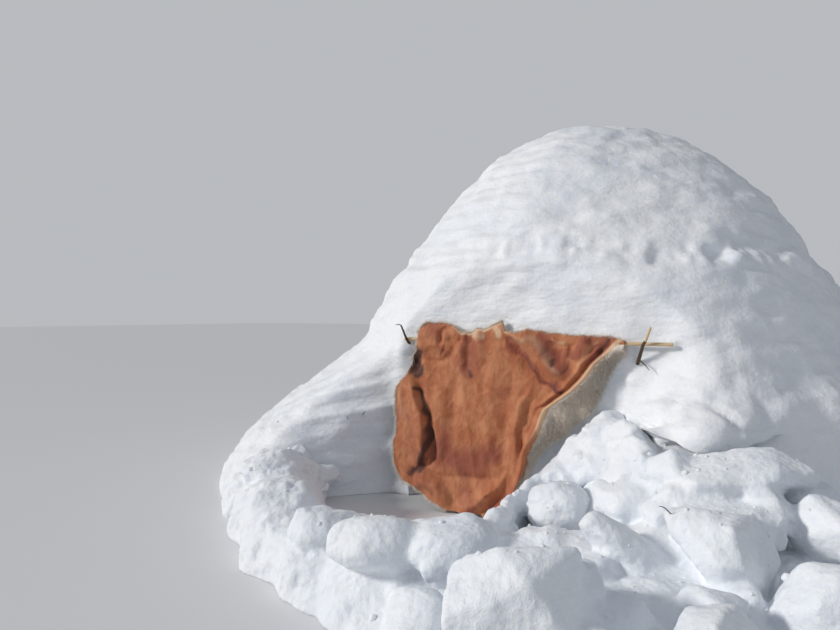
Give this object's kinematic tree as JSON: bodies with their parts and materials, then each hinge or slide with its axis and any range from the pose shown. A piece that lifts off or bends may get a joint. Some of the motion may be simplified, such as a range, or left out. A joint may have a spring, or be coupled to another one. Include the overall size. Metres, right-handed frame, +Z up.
{
  "type": "heaped snow hut",
  "caption": "Hollow mound of packed snow with a low arched doorway, closed by a hide curtain on a stick, and a heap of dug-out snow in front.",
  "frame": {"origin": "middle of the footprint, on the trench floor at the foot of the doorway", "axes": "+Z up; the entrance faces -Y; +X is on the right of the entrance seen from outside"},
  "size_m": [5.4177, 5.9209, 2.48],
  "materials": {
    "packed_snow": "matte packed snow",
    "dug_snow": "matte broken snow",
    "peeled_stick": "peeled dry wood",
    "bark_twig": "rough bark",
    "hide_skin": "suede skin side"
  },
  "bodies": {
    "snow_hut": {"door_jamb_left": "packed_snow", "door_jamb_right": "packed_snow", "foot_right_front": "packed_snow", "foot_right_back": "packed_snow", "foot_back_right": "packed_snow", "foot_back_left": "packed_snow", "foot_left_back": "packed_snow", "foot_left_front": "packed_snow", "door_lintel": "packed_snow", "wall_front_right": "packed_snow", "wall_right": "packed_snow", "wall_back_right": "packed_snow", "wall_back": "packed_snow", "wall_back_left": "packed_snow", "wall_left": "packed_snow", "wall_front_left": "packed_snow", "haunch_front": "packed_snow", "haunch_front_right": "packed_snow", "haunch_back_right": "packed_snow", "haunch_back": "packed_snow", "haunch_back_left": "packed_snow", "haunch_front_left": "packed_snow", "roof_front_right": "packed_snow", "roof_right": "packed_snow", "roof_back": "packed_snow", "roof_left": "packed_snow", "roof_front_left": "packed_snow", "crown": "packed_snow", "heap_by_door": "dug_snow", "heap_right": "dug_snow", "heap_front_right": "dug_snow", "rim_front": "dug_snow", "rim_left": "dug_snow", "rod": "peeled_stick", "twig_left": "bark_twig", "twig_right": "bark_twig"},
    "curtain": {"hide": "hide_skin"}
  },
  "joints": [
    {"name": "curtain_swing", "type": "hinge", "parent": "snow_hut", "child": "curtain", "pos_m": [0, -1.2593, 0.955], "axis": [-1, 0, 0], "range_deg": [0, 70]}
  ]
}
